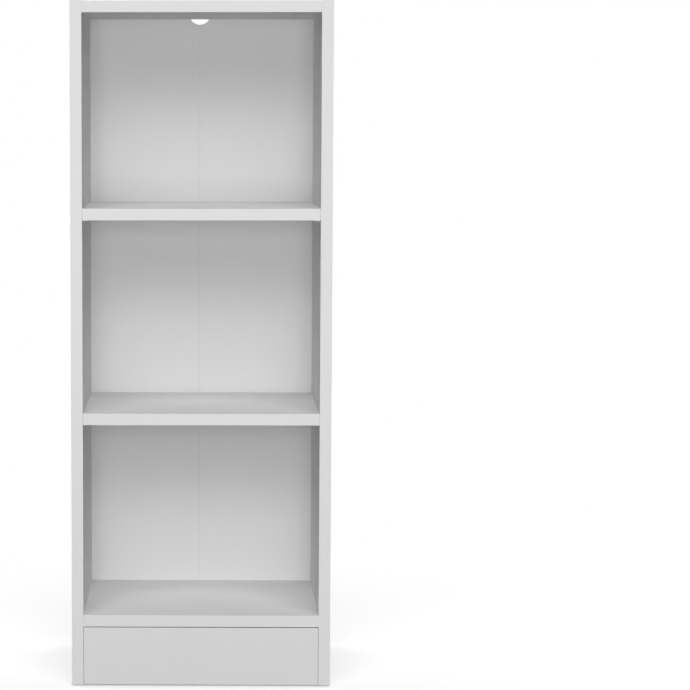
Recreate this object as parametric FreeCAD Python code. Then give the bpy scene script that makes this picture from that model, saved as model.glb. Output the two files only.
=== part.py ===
import FreeCAD
import Part
import os

# Narrow open bookcase of white-faced board: two full-height sides, a top, a fixed bottom shelf over a
# plinth, two loose shelves on pegs, and a thin folding back nailed into rebates.
# Millimetres. +Z is up and the front faces -Y. The origin is on the floor, under the middle of the case.

# ---- Driving dimensions ----

# Case
case_width = 400.0
case_depth = 280.0
board = 18.0  # thickness of the sides, top and shelves
toe_height = 91.4  # from the bottom ends of the sides up to the bottom shelf
compartment_height = 296.9  # clear height of each compartment
side_rise = 1.2  # the sides stand above the top panel by this

# Edging strips on the front edges, and on the upper ends of the sides
edging = 1.0
edging_radius = 0.5

# Plinth
plinth_thickness = 16.0
plinth_recess = 1.0
plinth_top_gap = 1.4  # open joint under the bottom shelf
plinth_end_gap = 0.4
plinth_radius = 0.6

# Loose shelves, from the lowest up
loose_shelf_names = ("lower_shelf", "upper_shelf")
shelf_end_gap = 0.2
shelf_rear_gap = 0.5

# Folding back
back_thickness = 3.0
back_recess = 1.0  # from the rear edges of the sides in to the back
back_overlap = 9.0  # the back lies on the edges of the boards by this, and the rebates are as wide
back_edge_gap = 0.5
fold_offset = -3.0
fold_gap = 0.25
notch_radius = 17.5
tape_width = 25.0
tape_thickness = 0.2

# Nails of the back
nail_radius = 0.75
nail_length = 20.0
nail_head_radius = 2.0
nail_head_height = 0.8
nail_point_length = 2.0
nail_pitch_up = 110.0
nail_end_margin = 45.0
nail_pitch_across = 80.0
nail_count_across = 4

# Cam fittings at the ends of the top panel and the bottom shelf
fitting_setback = 60.0  # from the front and rear edges of a panel to its cams
cam_setback = 34.0  # from the end of a panel to the middle of a cam
cam_radius = 7.45
cam_roof = 1.4  # over the bolt's head
cam_air = 0.5  # over the cam, in its bore
cam_core_radius = 3.2  # inside the slot that the bolt's neck turns through
cam_cross_length = 7.0
cam_cross_width = 1.4
cam_cross_depth = 2.0
bolt_thread_radius = 2.45
bolt_thread_length = 11.0
bolt_collar_radius = 3.7
bolt_collar_length = 1.0
bolt_shank_radius = 3.0
bolt_neck_radius = 2.0
bolt_neck_gap = 0.8  # from the cam to the start of the shank
bolt_head_radius = 3.4
bolt_head_length = 2.6
bolt_head_gap = 0.2
bolt_bore_gap = 0.3

# Dowels
dowel_radius = 4.0
dowel_length = 30.0
dowel_in_side = 10.0
dowel_chamfer = 0.8
dowel_pitch = 32.0  # from a cam to the dowel beside it
plinth_dowel_margin = 25.0  # from the upper and lower edges of the plinth

# Shelf pegs and their holes
peg_hole_radius = 2.5
peg_hole_pitch = 32.0
spare_holes_each_way = 2  # above and below the hole in use
peg_setback = 37.0  # from the front and rear edges of a side
peg_pin_length = 9.0
peg_collar_radius = 4.5
peg_collar_length = 1.2
peg_blade_length = 10.0
peg_blade_width = 8.0
peg_blade_thickness = 2.0

# Floor glides and their nails
glide_radius = 8.0
glide_height = 2.0
glide_round = 0.6
glide_setback = 40.0  # from the front and rear edges of a side
glide_nail_radius = 1.0
glide_nail_length = 13.0
glide_nail_head_radius = 3.0
glide_nail_head_height = 0.7
glide_nail_head_sink = 0.5  # from the floor up to the nail's head
glide_nail_head_gap = 0.2

# Clearances
fit_gap = 0.05  # all round a pin, dowel, nail or cam in its hole
end_air = 1.0  # past the end of a pin, dowel, nail or bolt in its hole
same = 1e-6  # two positions closer than this are the same

# ---- Derived sizes and places ----

outer_x = case_width / 2
inner_x = outer_x - board
side_middle_x = (inner_x + outer_x) / 2
front_y = -case_depth / 2
rear_y = case_depth / 2
strip_y = front_y + edging
back_rear_y = rear_y - back_recess
back_front_y = back_rear_y - back_thickness

side_bottom_z = glide_height
bottom_shelf_z = side_bottom_z + toe_height
level_pitch = board + compartment_height
loose_shelf_zs = [bottom_shelf_z + (i + 1) * level_pitch for i in range(len(loose_shelf_names))]
top_panel_z = loose_shelf_zs[-1] + level_pitch
side_top_z = top_panel_z + board + side_rise
plinth_bottom_z = side_bottom_z
plinth_top_z = bottom_shelf_z - plinth_top_gap

rebate_x = inner_x + back_overlap
back_edge_x = rebate_x - back_edge_gap
back_bottom_z = bottom_shelf_z + board - back_overlap
back_top_z = top_panel_z + back_overlap

strip_round = min(edging_radius, 0.9 * edging)
peg_ys = (front_y + peg_setback, rear_y - peg_setback)
glide_ys = (front_y + glide_setback, rear_y - glide_setback)
cam_ys = (front_y + fitting_setback, back_front_y - fitting_setback)
dowel_ys = (cam_ys[0] + dowel_pitch, cam_ys[1] - dowel_pitch)
cam_x = inner_x - cam_setback
cam_height = board / 2 + bolt_head_radius + bolt_head_gap + cam_roof
peg_hole_depth = peg_pin_length + end_air
glide_recess_depth = glide_nail_head_sink + glide_nail_head_height

plinth_dowel_y = front_y + plinth_recess + plinth_thickness / 2
plinth_dowel_zs = (plinth_bottom_z + plinth_dowel_margin, plinth_top_z - plinth_dowel_margin)

X_AXIS = FreeCAD.Vector(1, 0, 0)
Y_AXIS = FreeCAD.Vector(0, 1, 0)
Z_AXIS = FreeCAD.Vector(0, 0, 1)


# ---- Shapes that repeat ----


def block(x0, x1, y0, y1, z0, z1):
    """A box between two corners."""
    return Part.makeBox(x1 - x0, y1 - y0, z1 - z0, FreeCAD.Vector(x0, y0, z0))


def rod(radius, length, start, axis):
    """A round bar from a start point along an axis."""
    return Part.makeCylinder(radius, length, FreeCAD.Vector(*start), axis)


def edges_on(shape, *planes):
    """The edges of a shape that lie on every given plane, each an axis number and a value."""
    return [
        edge
        for edge in shape.Edges
        if all(abs(v.Point[axis] - value) < same for v in edge.Vertexes for axis, value in planes)
    ]


def joined(first, *others):
    """Several overlapping or touching shapes as one solid."""
    return first.fuse(list(others)).removeSplitter()


def mirrored(shape):
    """The same shape on the other side of the case."""
    return shape.mirror(FreeCAD.Vector(0, 0, 0), X_AXIS)


def both_sides(shapes):
    """The shapes of the right-hand side, and the same shapes on the left."""
    return shapes + [mirrored(shape) for shape in shapes]


def evenly(first, last, pitch):
    """Positions from first to last, evenly spaced and about one pitch apart."""
    spans = max(1, round((last - first) / pitch))
    return [first + (last - first) * i / spans for i in range(spans + 1)]


# ---- Cam fittings, on the right-hand side ----


def cam_bolt(y, z):
    """A cam bolt along X: its thread is in the side, and its head in the middle of the cam."""
    head_x = cam_x - bolt_head_length / 2
    shank_x = cam_x + cam_radius + bolt_neck_gap
    collar_x = inner_x - bolt_collar_length
    return joined(
        rod(bolt_thread_radius, bolt_thread_length, (inner_x, y, z), X_AXIS),
        rod(bolt_collar_radius, bolt_collar_length, (collar_x, y, z), X_AXIS),
        rod(bolt_shank_radius, collar_x - shank_x, (shank_x, y, z), X_AXIS),
        rod(bolt_neck_radius, shank_x - cam_x, (cam_x, y, z), X_AXIS),
        rod(bolt_head_radius, bolt_head_length, (head_x, y, z), X_AXIS),
    )


def cam_cross(y, underside_z):
    """The driver's cross recess in the face of a cam lock."""
    half_length = cam_cross_length / 2
    half_width = cam_cross_width / 2
    arms = []
    for half_x, half_y in ((half_length, half_width), (half_width, half_length)):
        arms.append(block(cam_x - half_x, cam_x + half_x, y - half_y, y + half_y,
                          underside_z, underside_z + cam_cross_depth))
    return joined(*arms)


def cam_lock(y, underside_z):
    """A cam lock in the underside of a panel, turned so that it grips the bolt's head."""
    bolt_z = underside_z + board / 2
    head_way_radius = bolt_head_radius + bolt_head_gap
    neck_way_radius = bolt_neck_radius + bolt_head_gap
    wall_x = cam_x + bolt_head_length / 2 + bolt_head_gap
    far = 2 * cam_radius
    slot_z = bolt_z - neck_way_radius
    head_way = rod(head_way_radius, wall_x - cam_x + far, (cam_x - far, y, bolt_z), X_AXIS)
    neck_way = rod(neck_way_radius, far, (cam_x, y, bolt_z), X_AXIS)
    turn_slot = rod(far, 2 * neck_way_radius, (cam_x, y, slot_z), Z_AXIS)
    turn_slot = turn_slot.cut(rod(cam_core_radius, 2 * neck_way_radius, (cam_x, y, slot_z), Z_AXIS))
    half_turn = block(cam_x - far, cam_x + far, y - far, y, underside_z, underside_z + board)
    body = rod(cam_radius, cam_height, (cam_x, y, underside_z), Z_AXIS)
    return body.cut([head_way, neck_way, turn_slot.common(half_turn), cam_cross(y, underside_z)])


def dowel(y, z):
    """A wooden dowel along X across the joint between a side and the end of a board."""
    plain = rod(dowel_radius, dowel_length, (inner_x + dowel_in_side - dowel_length, y, z), X_AXIS)
    rims = [edge for edge in plain.Edges if edge.Closed]
    return plain.makeChamfer(dowel_chamfer, rims)


def dowel_hole_in_side(y, z):
    """The hole for a dowel in the side."""
    return rod(dowel_radius + fit_gap, dowel_in_side + end_air, (inner_x, y, z), X_AXIS)


def dowel_hole_in_board(y, z):
    """The hole for a dowel in the end of a board."""
    depth = dowel_length - dowel_in_side + end_air
    return rod(dowel_radius + fit_gap, depth, (inner_x - depth, y, z), X_AXIS)


def panel_fitting_holes(underside_z):
    """The bores for bolts, cams and dowels in the end of a fixed panel."""
    z = underside_z + board / 2
    holes = [dowel_hole_in_board(y, z) for y in dowel_ys]
    for y in cam_ys:
        holes.append(rod(bolt_collar_radius + bolt_bore_gap, cam_setback, (cam_x, y, z), X_AXIS))
        holes.append(rod(cam_radius + fit_gap, cam_height + cam_air, (cam_x, y, underside_z), Z_AXIS))
    return holes


def side_fitting_holes(underside_z):
    """The bores in the side for the fittings of one fixed panel."""
    z = underside_z + board / 2
    holes = [dowel_hole_in_side(y, z) for y in dowel_ys]
    for y in cam_ys:
        holes.append(rod(bolt_thread_radius + fit_gap, bolt_thread_length + end_air, (inner_x, y, z), X_AXIS))
    return holes


# ---- Shelf pegs, on the right-hand side ----


def peg_axis_z(underside_z):
    """The height of the pegs under a loose shelf."""
    return underside_z - peg_blade_thickness / 2


def shelf_peg(y, underside_z):
    """A spoon peg: a round pin in the side, and a flat blade that a loose shelf lies on."""
    z = peg_axis_z(underside_z)
    low_z = underside_z - peg_blade_thickness
    half_width = peg_blade_width / 2
    tip_x = inner_x - peg_blade_length + half_width
    pin = rod(peg_hole_radius - fit_gap, peg_pin_length, (inner_x, y, z), X_AXIS)
    collar = rod(peg_collar_radius, peg_collar_length, (inner_x - peg_collar_length, y, z), X_AXIS)
    collar = collar.cut(block(tip_x, inner_x, y - peg_collar_radius, y + peg_collar_radius,
                              underside_z, underside_z + peg_collar_radius))
    blade = block(tip_x, inner_x, y - half_width, y + half_width, low_z, underside_z)
    tip = rod(half_width, peg_blade_thickness, (tip_x, y, low_z), Z_AXIS)
    return joined(pin, collar, blade, tip)


def peg_holes(underside_z):
    """The holes around one loose shelf, front and rear: those in use and the spare ones."""
    z = peg_axis_z(underside_z)
    steps = range(-spare_holes_each_way, spare_holes_each_way + 1)
    return [rod(peg_hole_radius, peg_hole_depth, (inner_x, y, z + step * peg_hole_pitch), X_AXIS)
            for y in peg_ys for step in steps]


# ---- Floor glides, on the right-hand side ----


def glide(y):
    """A round plastic glide under a side, with a sunk hole for its nail."""
    disc = rod(glide_radius, glide_height, (side_middle_x, y, 0), Z_AXIS)
    disc = disc.makeFillet(glide_round, edges_on(disc, (2, 0.0)))
    recess_radius = glide_nail_head_radius + glide_nail_head_gap
    recess = rod(recess_radius, glide_recess_depth, (side_middle_x, y, 0), Z_AXIS)
    return disc.cut([recess, rod(glide_nail_radius + fit_gap, glide_height, (side_middle_x, y, 0), Z_AXIS)])


def glide_nail(y):
    """The nail that holds a glide."""
    shank = rod(glide_nail_radius, glide_nail_length, (side_middle_x, y, glide_recess_depth), Z_AXIS)
    head_start = (side_middle_x, y, glide_nail_head_sink)
    return joined(shank, rod(glide_nail_head_radius, glide_nail_head_height, head_start, Z_AXIS))


def glide_nail_hole(y):
    """The hole that the nail of a glide makes in the side."""
    start = (side_middle_x, y, glide_recess_depth)
    return rod(glide_nail_radius + fit_gap, glide_nail_length + end_air, start, Z_AXIS)


# ---- Nails of the back ----


def back_nail_places():
    """Where the nails of the back go in, as x and z."""
    side_x = inner_x + back_overlap / 2
    places = []
    for z in evenly(back_bottom_z + nail_end_margin, back_top_z - nail_end_margin, nail_pitch_up):
        places += [(-side_x, z), (side_x, z)]
    for z in (back_bottom_z + back_overlap / 2, back_top_z - back_overlap / 2):
        for i in range(nail_count_across):
            places.append(((i - (nail_count_across - 1) / 2) * nail_pitch_across, z))
    return places


def back_nail(x, z):
    """A nail driven forwards through the back."""
    straight = nail_length - nail_point_length
    point_start = FreeCAD.Vector(x, back_rear_y - nail_length, z)
    return joined(
        rod(nail_radius, straight, (x, back_rear_y - straight, z), Y_AXIS),
        Part.makeCone(0.0, nail_radius, nail_point_length, point_start, Y_AXIS),
        rod(nail_head_radius, nail_head_height, (x, back_rear_y, z), Y_AXIS),
    )


def back_nail_holes():
    """The holes that the nails of the back make."""
    depth = nail_length + end_air
    return [rod(nail_radius + fit_gap, depth, (x, back_rear_y - depth, z), Y_AXIS)
            for x, z in back_nail_places()]


# ---- Boards ----


def right_side():
    """The right-hand side, as the board, its front edging and its top edging."""
    whole = block(inner_x, outer_x, front_y, rear_y, side_bottom_z, side_top_z)
    soft = edges_on(whole, (2, side_top_z), (1, front_y))
    for face_x in (inner_x, outer_x):
        soft += edges_on(whole, (1, front_y), (0, face_x)) + edges_on(whole, (2, side_top_z), (0, face_x))
    whole = whole.makeFillet(strip_round, soft)
    whole = whole.cut(block(inner_x, rebate_x, back_front_y, rear_y, side_bottom_z, side_top_z))
    cap_z = side_top_z - edging
    front_strip = whole.common(block(inner_x, outer_x, front_y, strip_y, side_bottom_z, side_top_z))
    top_strip = whole.common(block(inner_x, outer_x, strip_y, rear_y, cap_z, side_top_z))
    core = whole.common(block(inner_x, outer_x, strip_y, rear_y, side_bottom_z, cap_z))
    holes = side_fitting_holes(bottom_shelf_z) + side_fitting_holes(top_panel_z) + back_nail_holes()
    holes += [dowel_hole_in_side(plinth_dowel_y, z) for z in plinth_dowel_zs]
    holes += [glide_nail_hole(y) for y in glide_ys]
    for z in loose_shelf_zs:
        holes += peg_holes(z)
    return core.cut(holes), front_strip, top_strip


def edged_board(half_length, board_rear_y, underside_z):
    """A flat board whose front edge has a rounded edging strip, as the board and the strip."""
    upper_z = underside_z + board
    whole = block(-half_length, half_length, front_y, board_rear_y, underside_z, upper_z)
    soft = edges_on(whole, (1, front_y), (2, underside_z)) + edges_on(whole, (1, front_y), (2, upper_z))
    whole = whole.makeFillet(strip_round, soft)
    strip = whole.common(block(-half_length, half_length, front_y, strip_y, underside_z, upper_z))
    core = whole.common(block(-half_length, half_length, strip_y, board_rear_y, underside_z, upper_z))
    return core, strip


def fixed_panel(underside_z):
    """A panel fixed between the sides, with the bores for its fittings and nails."""
    core, strip = edged_board(inner_x, back_front_y, underside_z)
    return core.cut(both_sides(panel_fitting_holes(underside_z)) + back_nail_holes()), strip


def loose_shelf(underside_z):
    """A shelf that lies on its pegs."""
    return edged_board(inner_x - shelf_end_gap, back_front_y - shelf_rear_gap, underside_z)


def plinth():
    """The board that closes the space under the bottom shelf."""
    half_length = inner_x - plinth_end_gap
    face_y = front_y + plinth_recess
    whole = block(-half_length, half_length, face_y, face_y + plinth_thickness, plinth_bottom_z, plinth_top_z)
    whole = whole.makeFillet(plinth_radius, edges_on(whole, (1, face_y)))
    return whole.cut(both_sides([dowel_hole_in_board(plinth_dowel_y, z) for z in plinth_dowel_zs]))


def notch_punch():
    """The round punch that notches the back's upper edge at the fold."""
    return rod(notch_radius, case_depth, (fold_offset, front_y, back_top_z), Y_AXIS)


def back_leaf(x0, x1):
    """One leaf of the folding back, between two upright edges."""
    leaf = block(x0, x1, back_front_y, back_rear_y, back_bottom_z, back_top_z)
    return leaf.cut([notch_punch()] + back_nail_holes())


def fold_tape():
    """The tape on the rear that hinges the two leaves together."""
    half_width = tape_width / 2
    tape = block(fold_offset - half_width, fold_offset + half_width,
                 back_rear_y, back_rear_y + tape_thickness, back_bottom_z, back_top_z)
    return tape.cut(notch_punch())


# ---- Sub-parts ----

parts = {}

side_core, side_front_strip, side_top_strip = right_side()
parts["right_side_panel"] = side_core
parts["right_side_front_edging"] = side_front_strip
parts["right_side_top_edging"] = side_top_strip
parts["left_side_panel"] = mirrored(side_core)
parts["left_side_front_edging"] = mirrored(side_front_strip)
parts["left_side_top_edging"] = mirrored(side_top_strip)

for panel_name, panel_z in (("top_panel", top_panel_z), ("bottom_shelf", bottom_shelf_z)):
    panel_core, panel_strip = fixed_panel(panel_z)
    middle_z = panel_z + board / 2
    parts[panel_name] = panel_core
    parts[f"{panel_name}_edging"] = panel_strip
    parts[f"{panel_name}_cam_locks"] = Part.makeCompound(both_sides([cam_lock(y, panel_z) for y in cam_ys]))
    parts[f"{panel_name}_cam_bolts"] = Part.makeCompound(both_sides([cam_bolt(y, middle_z) for y in cam_ys]))
    parts[f"{panel_name}_dowels"] = Part.makeCompound(both_sides([dowel(y, middle_z) for y in dowel_ys]))

for shelf_name, shelf_z in zip(loose_shelf_names, loose_shelf_zs):
    shelf_core, shelf_strip = loose_shelf(shelf_z)
    parts[f"{shelf_name}_board"] = shelf_core
    parts[f"{shelf_name}_edging"] = shelf_strip
    parts[f"{shelf_name}_pegs"] = Part.makeCompound(both_sides([shelf_peg(y, shelf_z) for y in peg_ys]))

parts["plinth_board"] = plinth()
parts["plinth_dowels"] = Part.makeCompound(both_sides([dowel(plinth_dowel_y, z) for z in plinth_dowel_zs]))

parts["back_left_leaf"] = back_leaf(-back_edge_x, fold_offset - fold_gap / 2)
parts["back_right_leaf"] = back_leaf(fold_offset + fold_gap / 2, back_edge_x)
parts["back_fold_tape"] = fold_tape()
parts["back_nails"] = Part.makeCompound([back_nail(x, z) for x, z in back_nail_places()])

parts["floor_glides"] = Part.makeCompound(both_sides([glide(y) for y in glide_ys]))
parts["glide_nails"] = Part.makeCompound(both_sides([glide_nail(y) for y in glide_ys]))

os.makedirs("parts", exist_ok=True)
for part_name, part_shape in parts.items():
    part_shape.exportStep(f"parts/{part_name}.step")
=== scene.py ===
"""Dresses a narrow open bookcase: boards, a folding back, fittings, studio and camera."""
import logging
import math
from collections.abc import Callable, Iterable, Iterator
from contextlib import contextmanager
from dataclasses import dataclass
from enum import Enum

import bmesh
import bpy
from mathutils import Matrix, Vector


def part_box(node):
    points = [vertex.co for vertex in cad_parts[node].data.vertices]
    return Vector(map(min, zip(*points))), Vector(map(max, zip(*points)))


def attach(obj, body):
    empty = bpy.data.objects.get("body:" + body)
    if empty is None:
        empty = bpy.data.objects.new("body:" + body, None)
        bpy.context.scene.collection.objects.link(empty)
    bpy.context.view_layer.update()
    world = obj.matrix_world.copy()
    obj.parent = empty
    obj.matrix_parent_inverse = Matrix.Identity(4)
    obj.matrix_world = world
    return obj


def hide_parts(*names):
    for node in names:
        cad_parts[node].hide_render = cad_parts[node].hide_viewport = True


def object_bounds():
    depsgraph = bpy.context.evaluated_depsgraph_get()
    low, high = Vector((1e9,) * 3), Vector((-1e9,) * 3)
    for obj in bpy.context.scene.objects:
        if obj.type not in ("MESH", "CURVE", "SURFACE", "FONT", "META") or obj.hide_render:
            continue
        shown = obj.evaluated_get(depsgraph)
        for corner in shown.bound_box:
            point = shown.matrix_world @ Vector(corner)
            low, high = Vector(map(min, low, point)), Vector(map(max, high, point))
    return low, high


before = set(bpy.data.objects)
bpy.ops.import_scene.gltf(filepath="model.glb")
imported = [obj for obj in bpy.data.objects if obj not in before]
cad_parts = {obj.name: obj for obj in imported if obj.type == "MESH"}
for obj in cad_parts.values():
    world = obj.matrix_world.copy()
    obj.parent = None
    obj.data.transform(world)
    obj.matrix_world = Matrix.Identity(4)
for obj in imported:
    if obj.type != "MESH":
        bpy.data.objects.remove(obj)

cad_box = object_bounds()

LOG = logging.getLogger("bookcase")
MM = 0.001
WELD = 1e-6  # points closer than this are one point
FLUSH = 0.01 * MM  # a face closer than this to a plane lies in it
STRAIGHT = 0.99  # a face looks straight along an axis from this much of its normal
MOSTLY = 0.9  # and mostly along it from this much
HARDLY = 0.1  # and hardly along it up to this much
SHARP = 40.0  # an edge is rounded where its faces turn by more than this, in degrees
CARCASS = "carcass"  # the body that every fitting rides on
Triple = tuple[float, float, float]
Pair = tuple[float, float]


class Axis(Enum):
    """The three directions of the case: across it, front to back, and up."""

    ACROSS = 0
    DEPTH = 1
    UP = 2

    def times(self, factor: float) -> Triple:
        """Coordinate factors: this one along the axis and 1 along the others."""
        return tuple(factor if i == self.value else 1.0 for i in range(3))


# ---- Shader arithmetic ----


def operation(kind: str, swapped: bool = False) -> Callable[["Link", "Link | float"], "Link"]:
    """A method of Link for one kind of Math node.

    Args:
        kind: the node's operation.
        swapped: whether the other value comes first.

    Returns:
        The method.
    """

    def method(self: "Link", other: "Link | float") -> "Link":
        """The result of the Math node for this value and another."""
        return self.math(kind, other, self) if swapped else self.math(kind, self, other)

    return method


class Link:
    """A shader output that arithmetic is done on: each operation adds a Math node."""

    def __init__(self, graph: "Graph", socket: bpy.types.NodeSocket) -> None:
        """Wrap one output socket of a graph."""
        self.graph = graph
        self.socket = socket

    def math(self, kind: str, *terms: "Link | float") -> "Link":
        """The result of a Math node with these terms."""
        return self.graph.node("ShaderNodeMath", {"operation": kind}, dict(enumerate(terms)))

    __add__ = __radd__ = operation("ADD")
    __sub__ = operation("SUBTRACT")
    __rsub__ = operation("SUBTRACT", swapped=True)
    __mul__ = __rmul__ = operation("MULTIPLY")
    __truediv__ = operation("DIVIDE")
    larger = operation("MAXIMUM")

    def __abs__(self) -> "Link":
        """The size of this value without its sign."""
        return self.math("ABSOLUTE", self)

    def ramp(self, low: float, high: float) -> "Link":
        """This value as a smooth step: 0 up to low, and 1 from high."""
        inputs = {"Value": self, "From Min": low, "From Max": high}
        return self.graph.node("ShaderNodeMapRange", {"interpolation_type": "SMOOTHSTEP"}, inputs)


class Graph:
    """The node tree of one material or of the world."""

    def __init__(self, tree: bpy.types.NodeTree) -> None:
        """Start from an emptied tree."""
        tree.nodes.clear()
        self.tree = tree

    def feed(self, socket: bpy.types.NodeSocket, value: object) -> None:
        """Link a socket to an output, or set its value.

        Args:
            socket: an input socket.
            value: a link, a number, a colour or a vector.
        """
        if isinstance(value, Link):
            self.tree.links.new(value.socket, socket)
        elif socket.type == "RGBA":
            socket.default_value = (*value, 1.0)
        else:
            socket.default_value = value

    def node(
        self,
        kind: str,
        settings: dict[str, object] | None = None,
        inputs: dict[str | int, object] | None = None,
        output: str | int = 0,
    ) -> Link:
        """Add any node.

        Args:
            kind: the node's type.
            settings: its own properties, set before its inputs.
            inputs: values or links for its sockets, by name or number.
            output: the name or number of the output that is wanted.

        Returns:
            That output.
        """
        made = self.tree.nodes.new(kind)
        for name, value in (settings or {}).items():
            setattr(made, name, value)
        for key, value in (inputs or {}).items():
            self.feed(made.inputs[key], value)
        return Link(self, made.outputs[output] if made.outputs else None)

    def place(self, stretch: Triple = (1.0, 1.0, 1.0)) -> Link:
        """Object coordinates, each multiplied by a factor."""
        where = self.node("ShaderNodeTexCoord", output="Object")
        return self.node("ShaderNodeMapping", inputs={"Vector": where, "Scale": stretch})

    def part(self, vector: Link, axis: Axis) -> Link:
        """One part of a vector."""
        return self.node("ShaderNodeSeparateXYZ", inputs={"Vector": vector}, output=axis.value)

    def blend(self, factor: Link, first: object, second: object) -> Link:
        """A colour between two colours, by a factor from 0 to 1."""
        inputs = {0: factor, 6: first, 7: second}
        return self.node("ShaderNodeMix", {"data_type": "RGBA"}, inputs, 2)

    def bump(self, height: Link, depth: float, below: Link | None = None) -> Link:
        """A surface normal from a height.

        Args:
            height: the height, from 0 to 1.
            depth: what a height of 1 stands for, in metres.
            below: a normal that this one is added to.

        Returns:
            The normal.
        """
        inputs = {"Height": height, "Distance": depth, "Strength": 1.0}
        if below is not None:
            inputs["Normal"] = below
        return self.node("ShaderNodeBump", inputs=inputs)

    def surface(self, shader: Link) -> None:
        """Use a shader as the surface."""
        self.node("ShaderNodeOutputMaterial", inputs={"Surface": shader})

    def solid(self, **inputs: object) -> None:
        """Use a Principled shader with these inputs as the surface, spaces as underscores."""
        named = {name.replace("_", " "): value for name, value in inputs.items()}
        self.surface(self.node("ShaderNodeBsdfPrincipled", inputs=named))


# ---- Finishes ----


@dataclass(frozen=True)
class Grain:
    """Cloudy noise in a finish."""

    size: float  # of its largest clouds, in metres
    detail: float = 2.0  # how many finer layers it has
    roughness: float = 0.5  # how strong the finer layers are
    drawn: Triple = (1.0, 1.0, 1.0)  # below 1 along an axis that it is drawn out along

    def value(self, graph: Graph, where: Link | None = None, output: str | int = 0) -> Link:
        """The noise, from 0 to 1.

        Args:
            graph: the graph that its nodes are added to.
            where: the coordinates that it is read at, the piece's own if none are given.
            output: which of its outputs is wanted.

        Returns:
            The noise.
        """
        inputs = {
            "Vector": graph.place(self.drawn) if where is None else where,
            "Scale": 1.0 / self.size,
            "Detail": self.detail,
            "Roughness": self.roughness,
        }
        return graph.node("ShaderNodeTexNoise", inputs=inputs, output=output)


@dataclass(frozen=True)
class Cells:
    """Cells in a finish."""

    size: float  # of one cell, in metres
    drawn: Triple = (1.0, 1.0, 1.0)  # below 1 along an axis that they are drawn out along

    def value(self, graph: Graph, where: Link | None = None, output: str = "Distance") -> Link:
        """The distance to the middles of the cells, or the cells' colours.

        Args:
            graph: the graph that its nodes are added to.
            where: the coordinates that they are read at, the piece's own if none are given.
            output: which of its outputs is wanted, Distance or Color.

        Returns:
            The distance or colour.
        """
        where = graph.place(self.drawn) if where is None else where
        inputs = {"Vector": where, "Scale": 1.0 / self.size}
        return graph.node("ShaderNodeTexVoronoi", inputs=inputs, output=output)


@dataclass(frozen=True)
class Use:
    """One use of a noise or of cells in a finish."""

    source: Grain | Cells
    share: float = 1.0
    stops: Pair | None = None  # where a smooth step that it goes through starts and ends

    def term(self, graph: Graph, middle: float = 0.0) -> Link:
        """Its share of the value.

        Args:
            graph: the graph that its nodes are added to.
            middle: what the value is counted from.

        Returns:
            The share.
        """
        value = self.source.value(graph)
        if self.stops is not None:
            value = value.ramp(*self.stops)
        return self.share * (value - middle if middle else value)


Uses = tuple[Use, ...]
CLOUDED: Pair = (0.3, 0.7)  # the smooth step of a cloud


@dataclass(frozen=True)
class Layer:
    """One layer of a finish's relief."""

    depth: float  # what a height of 1 stands for, in metres
    uses: Uses


Relief = tuple[Layer, ...]


@dataclass(frozen=True)
class Finish:
    """A surface finish, whose material is built once and then shared."""

    name: str
    colour: Triple
    roughness: float = 0.5
    gloss: float = 0.5
    metallic: float = 0.0
    shades: tuple[float | Triple, float | Triple] = (1.0, 1.0)  # where the tone is 0 and 1
    tone: Uses = ()
    wear: Uses = ()  # what moves the roughness to either side
    relief: Relief = ()  # the lowest first
    specks: Uses = ()
    speck_shade: float = 1.0

    def material(self) -> bpy.types.Material:
        """The material of this finish.

        Returns:
            The material.
        """
        made = bpy.data.materials.get(self.name)
        if made is None:
            made = bpy.data.materials.new(self.name)
            made.use_nodes = True
            self.build(Graph(made.node_tree))
        return made

    def build(self, graph: Graph) -> None:
        """Add the finish's nodes.

        Args:
            graph: an empty graph.
        """
        tone = sum(use.term(graph) for use in self.tone)
        colour = graph.blend(tone, *map(self.shade, self.shades))
        for speck in self.specks:
            colour = graph.blend(speck.term(graph), colour, self.shade(self.speck_shade))
        normal = None
        for layer in self.relief:
            normal = graph.bump(sum(use.term(graph) for use in layer.uses), layer.depth, normal)
        graph.solid(
            Base_Color=colour,
            Metallic=self.metallic,
            Roughness=sum((use.term(graph, 0.5) for use in self.wear), self.roughness),
            Specular_IOR_Level=self.gloss,
            Normal=normal,
        )

    def shade(self, factor: float | Triple) -> Triple:
        """The finish's colour, multiplied by one factor or by one for each channel."""
        factors = factor if isinstance(factor, tuple) else (factor,) * 3
        return tuple(a * b for a, b in zip(self.colour, factors))


@dataclass(frozen=True)
class Facing(Finish):
    """Matt white melamine paper pressed on a board, with a fine pearl texture."""

    cloud: Grain = Grain(120 * MM, 3)
    handled: Grain = Grain(46 * MM, 5, 0.6, Axis.UP.times(0.35))
    pearl: Grain = Grain(0.7 * MM, 3, 0.6)
    pits: Cells = Cells(1.9 * MM)
    roughness: float = 0.66
    gloss: float = 0.06
    shades: Pair = (0.992, 1.0)
    tone: Uses = (Use(cloud, stops=CLOUDED),)
    wear: Uses = (Use(handled, 0.10, (0.35, 0.75)), Use(pearl, 0.05))
    relief: Relief = (
        Layer(0.022 * MM, (Use(pearl, 0.75), Use(pits, 0.25, (0.0, 0.35)))),
        Layer(0.25 * MM, (Use(cloud),)),
    )


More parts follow.
